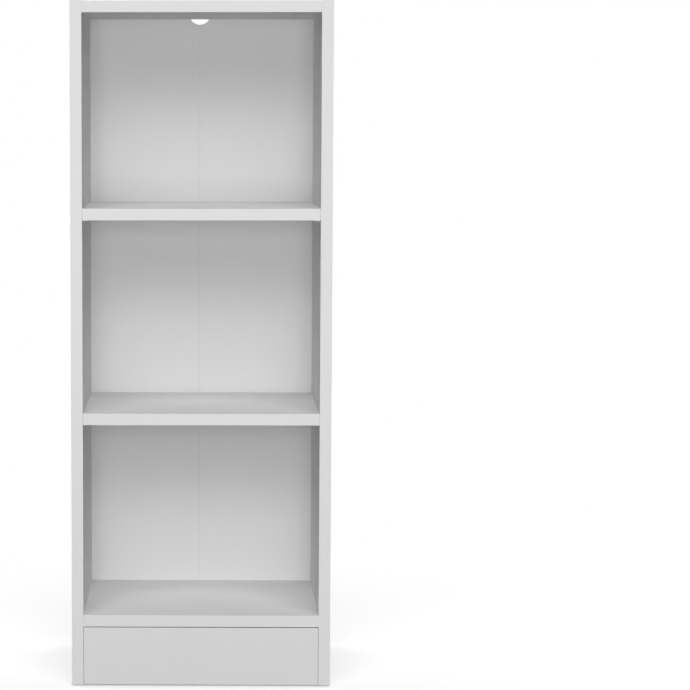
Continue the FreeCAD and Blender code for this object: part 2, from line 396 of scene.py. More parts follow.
@dataclass(frozen=True)
class EdgeBand(Finish):
    """Extruded white edging, with faint lines along its length."""

    colour: Triple = (0.762,) * 3
    roughness: float = 0.42
    gloss: float = 0.3
    shades: Pair = (0.99, 1.0)
    tone: Uses = (Use(Grain(90 * MM), stops=CLOUDED),)

    @classmethod
    def along(cls, axis: Axis) -> "EdgeBand":
        """The edging whose length lies along an axis.

        Args:
            axis: the axis.

        Returns:
            The finish.
        """
        streak, speckle = Grain(0.5 * MM, 3, 0.65, axis.times(0.015)), Grain(0.35 * MM)
        return cls(
            f"white_edging_{axis.name.lower()}",
            wear=(Use(streak, 0.10), Use(speckle, 0.04)),
            relief=(Layer(0.010 * MM, (Use(streak, 0.7), Use(speckle, 0.3))),),
        )


@dataclass(frozen=True)
class Chipboard(Finish):
    """The raw core of a board: coarse chips in the middle and fine ones near the faces."""

    thin: Axis = Axis.UP
    middle: float = 0.0
    half_thickness: float = 9 * MM
    fine_stops: Pair = (0.35, 0.80)  # between the middle, 0, and a face, 1
    wobble: Grain = Grain(1.6 * MM)
    flatness: float = 3.6  # how much longer than thick a chip is
    coarse: Cells = Cells(3.0 * MM)
    fine: Cells = Cells(1.0 * MM)
    fibre: Grain = Grain(0.5 * MM, 4, 0.7)
    loose_shares: Triple = (0.55, 0.25, 0.2)  # coarse chips, fine chips, fibres
    dense_shares: Triple = (0.35, 0.15, 0.2)  # everywhere, fine chips, fibres
    shades: Pair = (0.62, 1.32)
    # The pits are the voids between the chips: sunk a little in the relief, and darkened in colour
    # as painted shade in the voids.
    pits: Grain = Grain(2.2 * MM, 5, 0.7)
    pit_stops: Pair = (0.43, 0.34)
    pit_share: float = 0.75
    pit_painted_shade: float = 0.25
    roughness: float = 0.78
    fibre_roughness: float = 0.15  # what the fibres add
    relief_share: float = 0.5  # of the chips, and of what isn't a pit
    depth: float = 0.25 * MM

    def build(self, graph: Graph) -> None:
        """Add the core's nodes.

        Args:
            graph: an empty graph.
        """
        where = graph.place()
        outward = abs(graph.part(where, self.thin) - self.middle) / self.half_thickness
        near_face = outward.ramp(*self.fine_stops)
        moved = {0: self.wobble.value(graph, where, "Color"), 1: (self.wobble.size,) * 3, 2: where}
        bent = graph.node("ShaderNodeVectorMath", {"operation": "MULTIPLY_ADD"}, moved)
        flat = {"Vector": bent, "Scale": self.thin.times(self.flatness)}
        chips = graph.node("ShaderNodeMapping", inputs=flat)
        coarse, fine = (
            graph.node("ShaderNodeSeparateColor", inputs={0: cells.value(graph, chips, "Color")})
            for cells in (self.coarse, self.fine)
        )
        fibre = self.fibre.value(graph, chips)
        loose = sum(a * b for a, b in zip(self.loose_shares, (coarse, fine, fibre)))
        dense = sum(a * b for a, b in zip(self.dense_shares, (1.0, fine, fibre)))
        chip = loose * (1 - near_face) + dense * near_face
        # The pits' darkening is painted shade in the voids.
        pit = self.pits.value(graph, chips).ramp(*self.pit_stops) * (1 - near_face)
        colour = graph.blend(chip, *map(self.shade, self.shades))
        graph.solid(
            Base_Color=graph.blend(self.pit_share * pit, colour, self.shade(self.pit_painted_shade)),
            Roughness=self.roughness + self.fibre_roughness * fibre,
            Normal=graph.bump(self.relief_share * (chip + (1 - pit)), self.depth),
        )


@dataclass(frozen=True)
class Lacquer(Finish):
    """Thin white roller lacquer on fibreboard, which shows a little of the fibres."""

    cloud: Grain = Grain(140 * MM, 3)
    roller: Grain = Grain(1.2 * MM, 3, 0.6, Axis.UP.times(0.2))
    fibre: Grain = Grain(5 * MM, 5, 0.65, Axis.UP.times(0.3))
    gloss: float = 0.3
    shades: Pair = (0.99, 1.0)
    tone: Uses = (Use(cloud, stops=CLOUDED),)
    wear: Uses = (Use(roller, 0.10), Use(fibre, 0.06))
    relief: Relief = (
        Layer(0.015 * MM, (Use(roller, 0.6), Use(fibre, 0.4))),
        Layer(0.4 * MM, (Use(cloud),)),
    )


@dataclass(frozen=True)
class Fibreboard(Finish):
    """The bare brown rear of thin fibreboard: matted fibres and darker specks."""

    cloud: Grain = Grain(70 * MM, 4, 0.55)
    mat: Grain = Grain(7 * MM, 8, 0.72, Axis.UP.times(0.4))
    strand: Grain = Grain(1.6 * MM, 4, 0.7, Axis.ACROSS.times(0.25))
    roughness: float = 0.66
    shades: Pair = (0.74, 1.24)
    tone: Uses = (
        Use(cloud, 0.30, (0.25, 0.75)),
        Use(mat, 0.42, (0.25, 0.75)),
        Use(strand, 0.28, (0.25, 0.75)),
    )
    wear: Uses = (Use(mat, 0.18), Use(strand, 0.08))
    relief: Relief = (Layer(0.10 * MM, (Use(mat, 0.6), Use(strand, 0.4))),)
    specks: Uses = (Use(Cells(6 * MM), 0.55, (0.09, 0.03)),)
    speck_shade: float = 0.35


@dataclass(frozen=True)
class GummedPaper(Finish):
    """Gummed paper tape with fine crosswise fibres and a few soft wrinkles."""

    cloud: Grain = Grain(55 * MM, 3)
    fibre: Grain = Grain(0.9 * MM, 6, 0.7, Axis.ACROSS.times(0.3))
    wrinkle: Grain = Grain(9 * MM, 3, drawn=Axis.UP.times(0.35))
    roughness: float = 0.72
    shades: Pair = (0.88, 1.08)
    tone: Uses = (Use(cloud, 0.5), Use(fibre, 0.5))
    wear: Uses = (Use(fibre, 0.15),)
    relief: Relief = (
        Layer(0.04 * MM, (Use(fibre),)),
        Layer(0.30 * MM, (Use(wrinkle),)),
    )


@dataclass(frozen=True)
class Beech(Finish):
    """Bare beech with its grain along the case's width and short dark flecks."""

    grain: Grain = Grain(1.1 * MM, 5, 0.6, Axis.ACROSS.times(0.06))
    roughness: float = 0.675
    shades: Pair = (0.82, 1.12)
    tone: Uses = (Use(grain, stops=(0.25, 0.75)),)
    wear: Uses = (Use(grain, 0.15),)
    relief: Relief = (Layer(0.05 * MM, (Use(grain),)),)
    specks: Uses = (Use(Cells(1.3 * MM, Axis.ACROSS.times(0.3)), 0.5, (0.22, 0.08)),)
    speck_shade: float = 0.55


@dataclass(frozen=True)
class Metal(Finish):
    """A small metal fitting: cast, plated or bright."""

    grain: Grain = Grain(0.4 * MM, 4, 0.6)
    patch: Grain = Grain(5 * MM, 3)
    metallic: float = 1.0
    tone: Uses = (Use(patch, stops=CLOUDED),)
    wear: Uses = (Use(patch, 0.16), Use(grain, 0.10))
    relief: Relief = (Layer(0.01 * MM, (Use(grain),)),)


@dataclass(frozen=True)
class MouldedPlastic(Finish):
    """Moulded polyethylene with a fine spark-eroded texture."""

    spark: Grain = Grain(0.3 * MM, 3)
    scuff: Grain = Grain(2.0 * MM, 4, drawn=Axis.DEPTH.times(0.2))
    roughness: float = 0.4
    shades: Pair = (1.0, 0.86)
    tone: Uses = (Use(scuff, stops=(0.35, 0.8)),)
    wear: Uses = (Use(scuff, 0.15), Use(spark, 0.08))
    relief: Relief = (Layer(0.02 * MM, (Use(spark),)),)


CARCASS_FACING = Facing("white_melamine_carcass", (0.715,) * 3)
# Painted light: the shelves' melamine is painted lighter than the carcass's white, which stands in
# for the brighter light on the shelf tops.
SHELF_FACING_PAINTED_LIGHTER = Facing("white_melamine_shelves_painted_lighter", (0.805,) * 3)
# Painted light: the plinth's melamine is painted lighter than the carcass's white, which stands in
# for more light on the plinth's front.
PLINTH_FACING_PAINTED_LIGHTER = Facing("white_melamine_plinth_painted_lighter", (0.757,) * 3)
RAW_CHIPS: Triple = (0.50, 0.36, 0.22)
WHITE_LACQUER = Lacquer("white_lacquer", (0.775,) * 3)
BARE_FIBREBOARD = Fibreboard("bare_fibreboard", (0.290, 0.175, 0.095))
HINGE_TAPE = GummedPaper("gummed_paper", (0.66, 0.58, 0.45))
BEECH = Beech("beech", (0.62, 0.45, 0.28))
CAST_ZINC = Metal("cast_zinc", (0.55, 0.56, 0.57), 0.48,
                  relief=(Layer(0.03 * MM, (Use(Metal.grain),)),))
PLATED_STEEL = Metal("zinc_plated_steel", (0.62, 0.62, 0.60), 0.32,
                     shades=(1.0, (1.0, 0.97, 0.88)))
NAIL_STEEL = Metal("bright_nail_steel", (0.50, 0.50, 0.50), 0.30)
NICKEL = Metal("nickel_plated_steel", (0.66, 0.64, 0.60), 0.22)
GLIDE_PLASTIC = MouldedPlastic("white_polyethylene", (0.78, 0.78, 0.76))


def raw_core(node: str, thin: Axis) -> Chipboard:
    """The raw core of one board, layered across its thickness.

    Args:
        node: the board.
        thin: the direction of its thickness.

    Returns:
        The finish.
    """
    low, high = (corner[thin.value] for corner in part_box(node))
    layers = {"thin": thin, "middle": (low + high) / 2, "half_thickness": (high - low) / 2}
    return Chipboard(f"chipboard_{node}", RAW_CHIPS, **layers)


def coat(target: bpy.types.Object, *finishes: Finish) -> None:
    """Give an object these finishes in place of the materials that it has.

    Args:
        target: the object.
        finishes: its new finishes in order.
    """
    target.data.materials.clear()
    for finish in finishes:
        target.data.materials.append(finish.material())


# ---- Modelling by hand ----


def deselect_all() -> None:
    """Deselect every object."""
    bpy.ops.object.select_all(action="DESELECT")


def rotation(angle: float, axis: str) -> Matrix:
    """A turn about an axis through the origin, by an angle in degrees."""
    return Matrix.Rotation(math.radians(angle), 4, axis)


@dataclass(frozen=True)
class Solid:
    """The box of one separate solid in a construction node."""

    low: Vector
    high: Vector

    @property
    def middle(self) -> Vector:
        """The middle of the box."""
        return (self.low + self.high) / 2

    @property
    def foot(self) -> Vector:
        """The middle of the box's lowest face."""
        return Vector((self.middle.x, self.middle.y, self.low.z))

    @property
    def right(self) -> bool:
        """Whether it lies in the right half of the case."""
        return self.low.x + self.high.x > 0


def solids_of(node: str) -> list[Solid]:
    """The box of each separate solid in a construction node.

    Args:
        node: the node.

    Returns:
        The boxes, sorted by height, then depth, then width.
    """
    mesh = bmesh.new()
    mesh.from_mesh(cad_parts[node].data)
    bmesh.ops.remove_doubles(mesh, verts=mesh.verts, dist=WELD)
    unseen = set(mesh.verts)
    boxes = []
    while unseen:
        group, edge = set(), {unseen.pop()}
        while edge:
            group |= edge
            edge = {v for near in edge for e in near.link_edges for v in e.verts} - group
        unseen -= group
        corners = ([f(v.co[i] for v in group) for i in range(3)] for f in (min, max))
        boxes.append(Solid(*map(Vector, corners)))
    mesh.free()
    return sorted(boxes, key=lambda box: [round(box.low[i], 5) for i in (2, 1, 0)])


class Shape:
    """One mesh piece, shaped with the modelling operators."""

    def __init__(self, name: str) -> None:
        """Take the object that an operator has just added.

        Args:
            name: the piece's name.
        """
        self.object = bpy.context.object
        self.object.name = name
        self.object.data.name = name

    @classmethod
    def block(cls, name: str, low: Iterable[float], high: Iterable[float]) -> "Shape":
        """A box.

        Args:
            name: its name.
            low: its lowest corner.
            high: its highest corner.

        Returns:
            The box.
        """
        low, high = Vector(low), Vector(high)
        deselect_all()
        bpy.ops.mesh.primitive_cube_add(size=1.0, location=(low + high) / 2)
        made = cls(name)
        made.object.scale = high - low
        made.settle()
        return made

    @classmethod
    def bar(cls, name: str, radius: float, start: Triple, end: Triple, sides: int) -> "Shape":
        """A round bar.

        Args:
            name: its name.
            radius: its radius.
            start: the middle of one end.
            end: the middle of the other.
            sides: how many flats go round it.

        Returns:
            The bar.
        """
        start, end = Vector(start), Vector(end)
        deselect_all()
        bpy.ops.mesh.primitive_cylinder_add(
            vertices=sides,
            radius=radius,
            depth=(end - start).length,
            location=(start + end) / 2,
            rotation=(end - start).to_track_quat("Z", "Y").to_euler(),
        )
        made = cls(name)
        made.settle()
        return made

    @classmethod
    def turned(cls, name: str, profile: list[Pair], sides: int) -> "Shape":
        """A piece turned about the upright axis through the origin.

        Args:
            name: its name.
            profile: radius and height of each corner of its outline, from end to end.
            sides: how many flats go round it.

        Returns:
            The turned piece.
        """
        deselect_all()
        bpy.ops.mesh.primitive_plane_add(size=MM)
        made = cls(name)
        with made.points() as mesh:
            bmesh.ops.delete(mesh, geom=mesh.verts[1:], context="VERTS")
            mesh.verts.ensure_lookup_table()
            radius, height = profile[0]
            mesh.verts[0].co = (radius, 0.0, height)
        with made.editing("VERT"):
            for (radius, height), (last_radius, last_height) in zip(profile[1:], profile):
                step = (radius - last_radius, 0.0, height - last_height)
                bpy.ops.mesh.extrude_region_move(TRANSFORM_OT_translate={"value": step})
            bpy.ops.mesh.select_all(action="SELECT")
            bpy.ops.mesh.spin(steps=sides, angle=math.tau, center=(0, 0, 0), axis=(0, 0, 1))
            bpy.ops.mesh.select_all(action="SELECT")
            bpy.ops.mesh.remove_doubles(threshold=WELD)
            bpy.ops.mesh.normals_make_consistent(inside=False)
        return made

    @contextmanager
    def points(self) -> Iterator[bmesh.types.BMesh]:
        """The mesh's points, edges and faces, written back at the end of the with block."""
        mesh = bmesh.new()
        mesh.from_mesh(self.object.data)
        mesh.verts.ensure_lookup_table()
        yield mesh
        mesh.to_mesh(self.object.data)
        mesh.free()

    def active(self) -> None:
        """Make this piece the only selected and the active one."""
        deselect_all()
        self.object.select_set(True)
        bpy.context.view_layer.objects.active = self.object

    def settle(self) -> None:
        """Move the object's place, turn and scale into its mesh."""
        self.active()
        bpy.ops.object.transform_apply(location=True, rotation=True, scale=True)

    @contextmanager
    def editing(self, kind: str, test: Callable[..., bool] | None = None) -> Iterator[None]:
        """Edit mode for a with block.

        Args:
            kind: the kind of element that is selected: VERT, EDGE or FACE.
            test: says whether an edge or a face is selected, where not all are.
        """
        self.active()
        bpy.ops.object.mode_set(mode="EDIT")
        bpy.ops.mesh.select_mode(type=kind)
        bpy.ops.mesh.select_all(action="DESELECT" if test else "SELECT")
        if test:
            bpy.ops.object.mode_set(mode="OBJECT")
            with self.points() as mesh:
                for element in filter(test, mesh.faces if kind == "FACE" else mesh.edges):
                    element.select_set(True)
            bpy.ops.object.mode_set(mode="EDIT")
        yield
        bpy.ops.object.mode_set(mode="OBJECT")

    def modify(self, kind: str, **settings: object) -> None:
        """Add a modifier and apply it.

        Args:
            kind: its type.
            settings: its properties.
        """
        self.active()
        modifier = self.object.modifiers.new(kind.title(), kind)
        for name, value in settings.items():
            setattr(modifier, name, value)
        bpy.ops.object.modifier_apply(modifier=modifier.name)

    def combine(self, operation: str, *others: "Shape") -> None:
        """Cut other shapes out of this one or join them to it, and delete them.

        Args:
            operation: DIFFERENCE or UNION.
            others: the other shapes.
        """
        for other in others:
            self.modify("BOOLEAN", operation=operation, object=other.object, solver="EXACT")
            other.remove()

    def clean(self) -> None:
        """Merge points that all but touch, which takes out the faces that have no area."""
        with self.editing("VERT"):
            bpy.ops.mesh.remove_doubles(threshold=2 * WELD)

    def soften(self, width: float) -> None:
        """Round every sharp edge, and merge the points that all but touch.

        Args:
            width: how far the rounding goes to either side of an edge.
        """
        limit = {"limit_method": "ANGLE", "angle_limit": math.radians(SHARP)}
        self.modify("BEVEL", width=width, segments=2, **limit)
        self.clean()

    def transform(self, matrix: Matrix) -> None:
        """Turn and move the mesh."""
        self.object.data.transform(matrix)

    def dress(self, finish: Finish, angle: float = 35.0) -> "Shape":
        """Shade the piece smoothly and give it one finish.

        Args:
            finish: the finish.
            angle: an edge looks smooth where its faces turn by less than this, in degrees.

        Returns:
            The piece.
        """
        self.active()
        bpy.ops.object.shade_smooth_by_angle(angle=math.radians(angle))
        coat(self.object, finish)
        return self

    def copy(self, name: str, turn: float, place: Vector) -> "Shape":
        """A copy with its own mesh.

        Args:
            name: the copy's name.
            turn: a turn about the upright axis through the origin, in degrees.
            place: how far the copy is then moved.

        Returns:
            The copy.
        """
        self.active()
        bpy.ops.object.duplicate(linked=False)
        made = Shape(name)
        made.transform(Matrix.Translation(place) @ rotation(turn, "Z"))
        return made

    def remove(self) -> None:
        """Delete the piece."""
        bpy.data.objects.remove(self.object)


def fit_out(
    pattern: Shape,
    node: str,
    slot: str,
    anchor: Callable[[Solid], Vector] = lambda solid: solid.foot,
    paired: bool = False,
) -> None:
    """Put a copy of a modelled fitting in place of each solid of a node.

    Args:
        pattern: the fitting, modelled once at the origin, and deleted here.
        node: the construction node that the copies replace.
        slot: the name of their material slot, which is only logged.
        anchor: gives a copy's place from its solid's box.
        paired: whether the pattern is made for the right side and turned about for the left.
    """
    solids = solids_of(node)
    for number, solid in enumerate(solids, start=1):
        turn = 180.0 if paired and not solid.right else 0.0
        piece = pattern.copy(f"{node}_{number}", turn, anchor(solid)).object
        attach(piece, CARCASS)
        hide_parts(node)
    pattern.remove()
    LOG.info("%s: %d pieces in place of %s", slot, len(solids), node)


# ---- Boards ----


@dataclass
class Board:
    """One board of the case: white on its two wide faces, and raw wherever it was cut."""

    node: str
    thin: Axis
    facing: Facing = CARCASS_FACING
    white_front: float = 0.0  # how far back from its front edge the board is white all over
    wrapped: bool = False  # whether its facing goes on over its upper and lower edges

    def dress(self) -> None:
        """Give each face of the board its finish."""
        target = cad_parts[self.node]
        low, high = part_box(self.node)
        axis = self.thin.value
        coat(target, self.facing, raw_core(self.node, self.thin))
        for polygon in target.data.polygons:
            level = polygon.center[axis]
            outer = min(abs(level - low[axis]), abs(level - high[axis])) < FLUSH
            faced = outer and abs(polygon.normal[axis]) > STRAIGHT
            rounded = polygon.center.y < low.y + self.white_front
            covered = self.wrapped and abs(polygon.normal.z) > STRAIGHT
            polygon.material_index = 0 if faced or rounded or covered else 1
        LOG.info("board %s", self.node)


@dataclass
class Edging:
    """One edging strip."""

    node: str
    along: Axis

    def dress(self) -> None:
        """Give the strip its finish."""
        coat(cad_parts[self.node], EdgeBand.along(self.along))
        LOG.info("edging %s", self.node)


@dataclass
class Carcass:
    """The sides, the fixed panels, the plinth and the loose shelves, with their edging."""

    plinth_round: float = 1.1 * MM

    def dress(self) -> None:
        """Dress every board and strip."""
        for side in ("left", "right"):
            Board(f"{side}_side_panel", Axis.ACROSS).dress()
            Edging(f"{side}_side_front_edging", Axis.UP).dress()
            Edging(f"{side}_side_top_edging", Axis.DEPTH).dress()
        Board("top_panel", Axis.UP).dress()
        # The shelves take the melamine that is painted lighter: painted light on the shelf tops.
        for node in ("bottom_shelf", "lower_shelf_board", "upper_shelf_board"):
            Board(node, Axis.UP, SHELF_FACING_PAINTED_LIGHTER).dress()
        for node in ("top_panel", "bottom_shelf", "lower_shelf", "upper_shelf"):
            Edging(f"{node}_edging", Axis.ACROSS).dress()
        # The plinth takes the melamine that is painted lighter: painted light on its front.
        Board("plinth_board", Axis.DEPTH, PLINTH_FACING_PAINTED_LIGHTER, self.plinth_round, wrapped=True).dress()


@dataclass
class FoldingBack:
    """The two leaves of the back, white in front and bare behind, the tape and the nails."""

    nail_radius: float = 0.75 * MM
    nail_length: float = 20 * MM
    point_length: float = 2.2 * MM
    head_radius: float = 2.0 * MM
    head_height: float = 0.8 * MM
    head_root: float = 0.5 * MM  # how far below its head the shank widens
    nail_sides: int = 20

    def dress(self) -> None:
        """Dress the leaves and the tape, and drive the nails."""
        self.dress_leaf("back_left_leaf")
        self.dress_leaf("back_right_leaf")
        coat(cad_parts["back_fold_tape"], HINGE_TAPE)
        head_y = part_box("back_nails")[1].y
        fit_out(self.nail(), "back_nails", "bright_nail_steel",
                lambda solid: Vector((solid.middle.x, head_y, solid.middle.z)))

    def dress_leaf(self, leaf: str) -> None:
        """Lacquer the front of one leaf and leave its rear and edges bare.

        Args:
            leaf: its node.
        """
        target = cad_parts[leaf]
        front_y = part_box(leaf)[0].y
        coat(target, WHITE_LACQUER, BARE_FIBREBOARD)
        for polygon in target.data.polygons:
            front = polygon.normal.y < -STRAIGHT and abs(polygon.center.y - front_y) < FLUSH
            polygon.material_index = 0 if front else 1
        LOG.info("leaf %s", leaf)

    def nail(self) -> Shape:
        """A wire nail whose head's crown is at the origin and whose point is towards -Y.

        Returns:
            The nail.
        """
        low = -self.nail_length - self.head_height
        crown = self.head_radius
        profile = [
            (0.0, low),
            (0.45 * self.nail_radius, low + 0.35 * self.point_length),
            (self.nail_radius, low + self.point_length),
            (self.nail_radius, -self.head_height - self.head_root),
            (1.25 * self.nail_radius, -self.head_height),
            (0.94 * crown, -self.head_height),
            (crown, -0.72 * self.head_height),
            (crown, -0.35 * self.head_height),
            (0.90 * crown, -0.10 * self.head_height),
            (0.55 * crown, -0.02 * self.head_height),
            (0.0, 0.0),
        ]
        made = Shape.turned("nail_pattern", profile, self.nail_sides)
        made.transform(rotation(-90, "X"))
        return made.dress(NAIL_STEEL, 50)


# ---- Fittings ----


@dataclass
class ShelfPeg:
    """A spoon peg: a round pin, a part collar and a rounded blade that a loose shelf lies on."""

    pin_radius: float = 2.45 * MM
    pin_length: float = 9 * MM
    pin_sides: int = 40
    pin_chamfer: float = 0.5 * MM
    collar_radius: float = 4.5 * MM
    collar_length: float = 1.2 * MM
    collar_sides: int = 48
    blade_length: float = 10 * MM
    blade_width: float = 8 * MM
    blade_thickness: float = 2 * MM
    blade_root: float = 0.2 * MM  # how far inside the collar the blade ends
    softness: float = 0.28 * MM

    def pattern(self) -> Shape:
        """The peg of the right side, at the origin where the wall and the shelf meet.

        Returns:
            The peg.
        """
        middle = -self.blade_thickness / 2
        half = self.blade_width / 2
        pin = Shape.bar("peg_pattern", self.pin_radius, (-0.5 * self.collar_length, 0, middle),
                        (self.pin_length, 0, middle), self.pin_sides)
        with pin.editing("FACE", lambda face: face.normal.x > MOSTLY):
            bpy.ops.mesh.bevel(offset=self.pin_chamfer, segments=3, affect="EDGES")
        collar = Shape.bar("collar", self.collar_radius, (-self.collar_length, 0, middle),
                           (0, 0, middle), self.collar_sides)
        with collar.editing("FACE"):
            upper = {"clear_outer": True, "use_fill": True}
            bpy.ops.mesh.bisect(plane_co=(0, 0, 0), plane_no=(0, 0, 1), **upper)
        blade = Shape.block("blade", (-self.blade_length, -half, -self.blade_thickness),
                            (-self.blade_root, half, 0))
        with blade.editing("EDGE", self.is_blade_corner):
            bpy.ops.mesh.bevel(offset=0.99 * half, segments=10, affect="EDGES")
        pin.combine("UNION", collar, blade)
        pin.soften(self.softness)
        return pin.dress(NICKEL)

    def is_blade_corner(self, edge: bmesh.types.BMEdge) -> bool:
        """Whether an edge is one of the two upright ones at the blade's free end.

        Args:
            edge: an edge of the blade.

        Returns:
            Whether it is.
        """
        ends = [v.co for v in edge.verts]
        upright = abs(ends[0].z - ends[1].z) > 0.5 * self.blade_thickness
        return upright and all(end.x < -MOSTLY * self.blade_length for end in ends)

    def fit(self) -> None:
        """Put four pegs under each loose shelf."""
        wall_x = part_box("right_side_panel")[0].x
        for shelf in ("lower_shelf", "upper_shelf"):
            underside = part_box(f"{shelf}_board")[0].z
            fit_out(self.pattern(), f"{shelf}_pegs", "nickel_plated_steel",
                    lambda solid: Vector((wall_x if solid.right else -wall_x,
                                          solid.middle.y, underside)), paired=True)


@dataclass
class CamLock:
    """A cast cam in the underside of a fixed panel, with a driver's cross and a turning slot."""

    radius: float = 7.45 * MM
    sides: int = 64
    rim_width: float = 0.8 * MM
    rim_slope: float = 0.15 * MM
    rim_height: float = 0.25 * MM
    core_radius: float = 3.2 * MM
    head_way_radius: float = 3.6 * MM
    neck_way_radius: float = 2.2 * MM
    grip: float = 1.5 * MM  # from the cam's axis to the wall that holds the bolt's head
    cross_length: float = 7.0 * MM
    cross_width: float = 1.4 * MM
    cross_depth: float = 2.0 * MM
    softness: float = 0.2 * MM

    def pattern(self, height: float, level: float) -> Shape:
        """The cam of the right side, with its face downwards in the plane through the origin.

        Args:
            height: the height of the cam.
            level: how far above its face the bolt's axis is.

        Returns:
            The cam.
        """
        far = 3 * self.radius
        neck = self.neck_way_radius
        body = Shape.bar("cam_pattern", self.radius, (0, 0, 0), (0, 0, height), self.sides)
        with body.editing("FACE", lambda face: face.normal.z < -MOSTLY):
            bpy.ops.mesh.inset(thickness=self.rim_width)
            bpy.ops.mesh.inset(thickness=self.rim_slope, depth=-self.rim_height)
        cuts = [
            Shape.bar("head_way", self.head_way_radius, (-far, 0, level),
                      (self.grip, 0, level), 32),
            Shape.bar("neck_way", neck, (0, 0, level), (far, 0, level), 24),
            Shape.bar("turn_slot", far, (0, 0, level - neck), (0, 0, level + neck), 48),
        ]
        core = Shape.bar("core", self.core_radius, (0, 0, 0), (0, 0, height), 32)
        half_turn = Shape.block("half_turn", (-2 * far, 0, -far), (2 * far, 2 * far, 2 * far))
        cuts[-1].combine("DIFFERENCE", core, half_turn)
        long, short = self.cross_length / 2, self.cross_width / 2
        for x, y in ((long, short), (short, long)):
            cuts.append(Shape.block("cross", (-x, -y, -MM), (x, y, self.cross_depth)))
        body.combine("DIFFERENCE", *cuts)
        body.soften(self.softness)
        return body.dress(CAST_ZINC)

    def fit(self) -> None:
        """Put four cams in each fixed panel."""
        for panel in ("top_panel", "bottom_shelf"):
            node = f"{panel}_cam_locks"
            low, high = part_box(panel)
            underside, top = (corner.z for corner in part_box(node))
            pattern = self.pattern(top - underside, (low.z + high.z) / 2 - underside)
            fit_out(pattern, node, "zinc_cam", paired=True)


@dataclass
class CamBolt:
    """A cam bolt: a threaded end, a collar, a shank, and a head on a thin neck."""

    sides: int = 32
    thread_radius: float = 2.45 * MM
    thread_core_radius: float = 1.75 * MM
    thread_length: float = 11 * MM
    thread_pitch: float = 1.6 * MM
    thread_start: float = 0.8 * MM  # from the collar to the middle of the first turn
    thread_ends: float = 2.0 * MM  # how much of the threaded end is plain
    thread_root: float = 0.45 * MM  # half the width of the ridge's foot
    thread_crest: float = 0.12 * MM  # half the width of its crest
    thread_steps: int = 24
    tip_flat: float = 0.1 * MM
    tip_length: float = 1.2 * MM
    collar_radius: float = 3.7 * MM
    collar_length: float = 1.0 * MM
    shank_radius: float = 3.0 * MM
    shank_taper: float = 0.6 * MM
    neck_radius: float = 2.0 * MM
    head_radius: float = 3.4 * MM
    head_length: float = 2.6 * MM
    neck_length: float = 8.25 * MM  # from the middle of the head to the start of the shank
    softness: float = 0.25 * MM

    def pattern(self, length: float) -> Shape:
        """The bolt of the right side, with the end of its thread at the origin, towards +X.

        Args:
            length: the whole length of the bolt.

        Returns:
            The bolt.
        """
        soft = self.softness
        collar_z = -self.thread_length
        shank_z = collar_z - self.collar_length
        head_z = -length
        shoulder_z = head_z + self.head_length
        neck_z = head_z + self.head_length / 2 + self.neck_length
        profile = [
            (0.0, 0.0),
            (0.5 * self.thread_core_radius, -self.tip_flat),
            (self.thread_core_radius, -self.tip_length),
            (self.thread_core_radius, collar_z),
            (self.collar_radius - soft, collar_z),
            (self.collar_radius, collar_z - soft),
            (self.collar_radius, shank_z + soft),
            (self.collar_radius - soft, shank_z),
            (self.shank_radius, shank_z),
            (self.shank_radius, neck_z + soft),
            (self.shank_radius - soft, neck_z),
            (self.neck_radius, neck_z - self.shank_taper),
            (self.neck_radius, shoulder_z),
            (self.head_radius - soft, shoulder_z),
            (self.head_radius, shoulder_z - soft),
            (self.head_radius, head_z + 2 * soft),
            (self.head_radius - 2 * soft, head_z),
            (0.0, head_z),
        ]
        body = Shape.turned("bolt_pattern", profile, self.sides)
        body.combine("UNION", self.thread())
        body.clean()
        body.transform(rotation(90, "Y"))
        return body.dress(PLATED_STEEL, 30)

    def thread(self) -> Shape:
        """The ridge of the thread, wound about the upright axis below the origin.

        Returns:
            The ridge.
        """
        turns = int((self.thread_length - self.thread_ends) / self.thread_pitch)
        start = -self.thread_length + self.thread_start
        root = self.thread_root
        ridge = Shape.block("thread", (0.8 * self.thread_core_radius, -MM, start - root),
                            (self.thread_radius, MM, start + root))
        with ridge.editing("FACE", lambda face: face.normal.y < MOSTLY):
            bpy.ops.mesh.delete(type="FACE")
        with ridge.points() as mesh:
            for point in mesh.verts:
                point.co.y = 0.0
                if point.co.x > MOSTLY * self.thread_radius:
                    point.co.z = start + math.copysign(self.thread_crest, point.co.z - start)
        ridge.modify("SCREW", axis="Z", angle=math.tau, screw_offset=self.thread_pitch,
                     iterations=turns, steps=self.thread_steps, render_steps=self.thread_steps,
                     use_normal_calculate=True, use_merge_vertices=True)
        with ridge.editing("VERT"):
            bpy.ops.mesh.remove_doubles(threshold=WELD)
            bpy.ops.mesh.fill_holes(sides=4)
            bpy.ops.mesh.select_all(action="SELECT")
            bpy.ops.mesh.normals_make_consistent(inside=False)
        return ridge

    def fit(self) -> None:
        """Put four bolts in each fixed panel."""
        for panel in ("top_panel", "bottom_shelf"):
            node = f"{panel}_cam_bolts"
            first = solids_of(node)[0]
            fit_out(self.pattern(first.high.x - first.low.x), node, "zinc_plated_steel",
                    self.anchor, paired=True)

    @staticmethod
    def anchor(solid: Solid) -> Vector:
        """The end of one bolt's thread, from its solid's box."""
        end = solid.high if solid.right else solid.low
        return Vector((end.x, solid.middle.y, solid.middle.z))


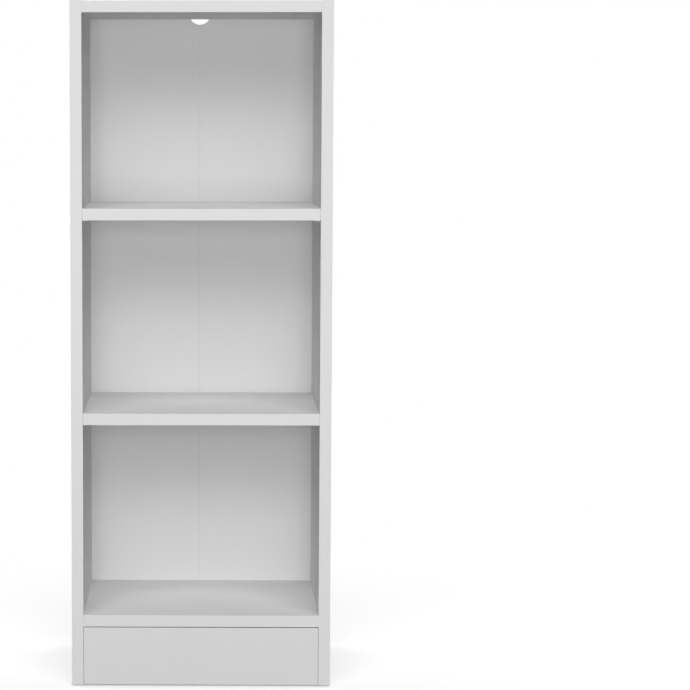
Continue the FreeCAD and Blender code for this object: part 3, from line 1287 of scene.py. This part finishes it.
@dataclass
class Dowel:
    """A fluted beech dowel with chamfered ends."""

    radius: float = 4.0 * MM
    length: float = 30 * MM
    chamfer: float = 0.8 * MM
    sides: int = 48
    flute_depth: float = 0.28 * MM
    flute_slope: float = 0.06 * MM

    def pattern(self) -> Shape:
        """A dowel along X, with its middle at the origin.

        Returns:
            The dowel.
        """
        end = (self.length / 2, 0, 0)
        made = Shape.bar("dowel_pattern", self.radius, (-end[0], 0, 0), end, self.sides)
        with made.editing("FACE", lambda face: abs(face.normal.x) > MOSTLY):
            bpy.ops.mesh.bevel(offset=self.chamfer, segments=2, affect="EDGES")
        with made.editing("FACE", self.is_flute):
            sunk = {"thickness": self.flute_slope, "depth": -self.flute_depth}
            bpy.ops.mesh.inset(use_individual=True, **sunk)
        return made.dress(BEECH, 25)

    def is_flute(self, face: bmesh.types.BMFace) -> bool:
        """Whether a face is one of every second long side.

        Args:
            face: a face of the dowel.

        Returns:
            Whether it is.
        """
        if abs(face.normal.x) > HARDLY:
            return False
        turn = math.atan2(face.normal.z, face.normal.y) % math.tau
        return int(turn / math.tau * self.sides) % 2 == 0

    def fit(self) -> None:
        """Put the dowels in the fixed panels and the plinth."""
        for board in ("top_panel", "bottom_shelf", "plinth"):
            fit_out(self.pattern(), f"{board}_dowels", "beech_dowel", lambda solid: solid.middle)


@dataclass
class FloorGlide:
    """A round glide with a sunk hole, and the nail that holds it."""

    radius: float = 8 * MM
    height: float = 2 * MM
    sides: int = 64
    rim: float = 0.2 * MM
    recess_radius: float = 3.2 * MM
    recess_depth: float = 1.2 * MM
    hole_radius: float = 1.05 * MM
    nail_radius: float = 1.0 * MM
    nail_head_radius: float = 3.0 * MM
    nail_head_height: float = 0.7 * MM
    nail_sides: int = 32

    def pattern(self) -> Shape:
        """A glide whose lower face is in the plane through the origin.

        Returns:
            The glide.
        """
        profile = [
            (self.hole_radius, self.height),
            (self.hole_radius, self.recess_depth),
            (self.recess_radius, self.recess_depth),
            (self.recess_radius, self.rim),
            (self.recess_radius + self.rim, 0.0),
            (self.radius - 0.6 * MM, 0.0),
            (self.radius - 0.25 * MM, 0.12 * MM),
            (self.radius - 0.05 * MM, 0.38 * MM),
            (self.radius, 0.7 * MM),
            (self.radius, self.height - 0.1 * MM),
            (self.radius - 0.1 * MM, self.height),
            (self.hole_radius, self.height),
        ]
        return Shape.turned("glide_pattern", profile, self.sides).dress(GLIDE_PLASTIC, 30)

    def nail(self, length: float) -> Shape:
        """A glide's nail, whose head's lower face is in the plane through the origin.

        Args:
            length: the whole length of the nail.

        Returns:
            The nail.
        """
        head = self.nail_head_radius
        profile = [
            (0.0, 0.0),
            (0.6 * head, 0.02 * MM),
            (0.9 * head, 0.12 * MM),
            (head, 0.35 * MM),
            (head, 0.6 * MM),
            (0.94 * head, self.nail_head_height),
            (1.2 * self.nail_radius, self.nail_head_height),
            (self.nail_radius, self.nail_head_height + 0.3 * MM),
            (self.nail_radius, length - 1.8 * MM),
            (0.4 * self.nail_radius, length - 0.5 * MM),
            (0.0, length),
        ]
        return Shape.turned("glide_nail_pattern", profile, self.nail_sides).dress(NAIL_STEEL, 40)

    def fit(self) -> None:
        """Put two glides and their nails under each side."""
        fit_out(self.pattern(), "floor_glides", "white_glide_plastic")
        first = solids_of("glide_nails")[0]
        fit_out(self.nail(first.high.z - first.low.z), "glide_nails", "bright_nail_steel")


# ---- Studio ----


@dataclass(frozen=True)
class Softbox:
    """A square area lamp that looks at the middle of the case."""

    name: str
    azimuth: float  # degrees to the right of the front, seen from above
    elevation: float  # degrees above the horizon
    distance: float
    width: float
    strength: float  # what a small flat thing that faces it gets at the case, where 1 is white

    def build(self, target: Vector) -> None:
        """Add the lamp.

        Args:
            target: the point that it looks at.
        """
        turn, rise = math.radians(self.azimuth), math.radians(self.elevation)
        level = math.cos(rise)
        way = Vector((math.sin(turn) * level, -math.cos(turn) * level, math.sin(rise)))
        deselect_all()
        bpy.ops.object.light_add(type="AREA", location=target + way * self.distance)
        lamp = bpy.context.object
        lamp.name = self.name
        lamp.rotation_euler = way.to_track_quat("Z", "Y").to_euler()
        lamp.data.shape = "SQUARE"
        lamp.data.size = self.width
        lamp.data.energy = self.strength * math.pi * math.pi * self.distance**2
        LOG.info("lamp %s", self.name)


@dataclass(frozen=True)
class Studio:
    """A pale floor and backdrop that look white, a glow from behind, and softboxes in front."""

    rear_glow: float = 1.1  # the strength of the sky behind the case
    rear_stops: Pair = (0.0, 0.4)
    side_glow: float = 2.5  # what the sky has more to the left and right
    side_stops: Pair = (0.5, 0.9)
    side_rear_stops: Pair = (-0.05, 0.15)
    floor_size: float = 24.0
    floor_colour: float = 0.12  # for the light that it throws on the case
    floor_shown_colour: float = 0.62
    floor_white: float = 0.37  # how much white the floor shows besides its own light
    shadow_stops: Pair = (0.3, 0.9)  # where the case's shadow starts and ends to fade
    # Before the case's front the floor is painted lighter over the case's shadow: painted light.
    front_clear: float = 0.03  # from the case's front to where the floor before it is lighter
    front_painted_light: float = 0.65
    lamps: tuple[Softbox, ...] = (
        Softbox("near_front_lamp", 0, 3, 3.2, 1.0, 0.315),
        Softbox("middle_front_lamp", 0, 31, 20.0, 6.0, 0.14),
        Softbox("low_left_lamp", -12, 24, 20.0, 6.0, 0.068),
        Softbox("low_right_lamp", 12, 24, 20.0, 6.0, 0.068),
        Softbox("high_left_lamp", -25, 49, 20.0, 6.0, 0.213),
        Softbox("high_right_lamp", 25, 49, 20.0, 6.0, 0.213),
    )

    def build(self) -> None:
        """Add the floor, the sky and the lamps."""
        low, high = cad_box
        self.build_sky()
        self.build_floor(low.z)
        for lamp in self.lamps:
            lamp.build((low + high) / 2)

    @staticmethod
    def seen(graph: Graph) -> Link:
        """1 where the camera, a reflection or a clear piece looks, and 0 for gathered light.

        Args:
            graph: the graph that its nodes are added to.

        Returns:
            The 1 or 0.
        """
        rays = [graph.node("ShaderNodeLightPath", output=f"Is {kind} Ray")
                for kind in ("Camera", "Glossy", "Transmission")]
        return rays[0].larger(rays[1]).larger(rays[2])

    def build_sky(self) -> None:
        """Light the case from behind and beside by a sky that looks white."""
        world = bpy.data.worlds.new("studio_sky")
        bpy.context.scene.world = world
        world.use_nodes = True
        graph = Graph(world.node_tree)
        seen = self.seen(graph)
        way = graph.node("ShaderNodeTexCoord", output="Generated")
        beside, behind = graph.part(way, Axis.ACROSS), graph.part(way, Axis.DEPTH)
        sides = abs(beside).ramp(*self.side_stops) * behind.ramp(*self.side_rear_stops)
        glow = self.rear_glow * behind.ramp(*self.rear_stops) + self.side_glow * sides
        shown = {"Color": (1.0, 1.0, 1.0), "Strength": seen + (1 - seen) * glow}
        background = graph.node("ShaderNodeBackground", inputs=shown)
        graph.node("ShaderNodeOutputWorld", inputs={"Surface": background})

    def build_floor(self, level: float) -> None:
        """Lay a floor that looks white and keeps the case's shadow, except before the case's
        front, where painted light partly covers it.

        Args:
            level: its height.
        """
        deselect_all()
        bpy.ops.mesh.primitive_plane_add(size=self.floor_size, location=(0, 0, level))
        floor = bpy.context.object
        floor.name = "studio_floor"
        material = bpy.data.materials.new("studio_floor")
        material.use_nodes = True
        graph = Graph(material.node_tree)
        dark, pale = (
            graph.node("ShaderNodeBsdfDiffuse", inputs={"Color": (tone,) * 3})
            for tone in (self.floor_colour, self.floor_shown_colour)
        )
        glow, white = (
            graph.node("ShaderNodeEmission", inputs={"Strength": strength})
            for strength in (self.floor_white, 1.0)
        )
        near = graph.node("ShaderNodeAddShader", inputs={0: pale, 1: glow})
        where = graph.place()
        far = graph.node("ShaderNodeVectorMath", {"operation": "LENGTH"}, {0: where}, "Value")
        front_y = -cad_box[0].y
        # Painted light: the floor before the case is whitened over the case's shadow.
        front = (graph.part(where, Axis.DEPTH) * -1.0).ramp(front_y, self.front_clear + front_y)
        clear = far.ramp(*self.shadow_stops).larger(self.front_painted_light * front)
        shown = graph.node("ShaderNodeMixShader", inputs={0: clear, 1: near, 2: white})
        shares = {0: self.seen(graph), 1: dark, 2: shown}
        graph.surface(graph.node("ShaderNodeMixShader", inputs=shares))
        floor.data.materials.append(material)
        LOG.info("floor at %.4f", level)


@dataclass(frozen=True)
class Viewpoint:
    """The camera: where it stands, how it is turned and what its lens takes in."""

    across: float = 3.505 * MM
    in_front: float = 3560.8 * MM  # from the front edges of the sides
    height: float = 889.5 * MM
    left_turn: float = 0.01335
    down_tilt: float = 0.09399
    lens: float = 121.863
    sensor: float = 36.0
    shift: Pair = (0.25, -0.02)

    def build(self) -> None:
        """Add the camera and look through it."""
        deselect_all()
        bpy.ops.object.camera_add(
            location=(self.across, cad_box[0].y - self.in_front, self.height),
            rotation=(math.pi / 2 - self.down_tilt, 0.0, self.left_turn),
        )
        camera = bpy.context.object
        camera.data.sensor_width = self.sensor
        camera.data.lens = self.lens
        camera.data.shift_x, camera.data.shift_y = self.shift
        bpy.context.scene.camera = camera


def main() -> None:
    """Build the dressed bookcase and its studio."""
    logging.basicConfig(level=logging.INFO, format="%(name)s: %(message)s")
    bpy.context.scene.view_settings.view_transform = "Standard"
    Carcass().dress()
    FoldingBack().dress()
    for fitting in (ShelfPeg(), CamLock(), CamBolt(), Dowel(), FloorGlide()):
        fitting.fit()
    Studio().build()
    Viewpoint().build()


if __name__ == "__main__":
    main()
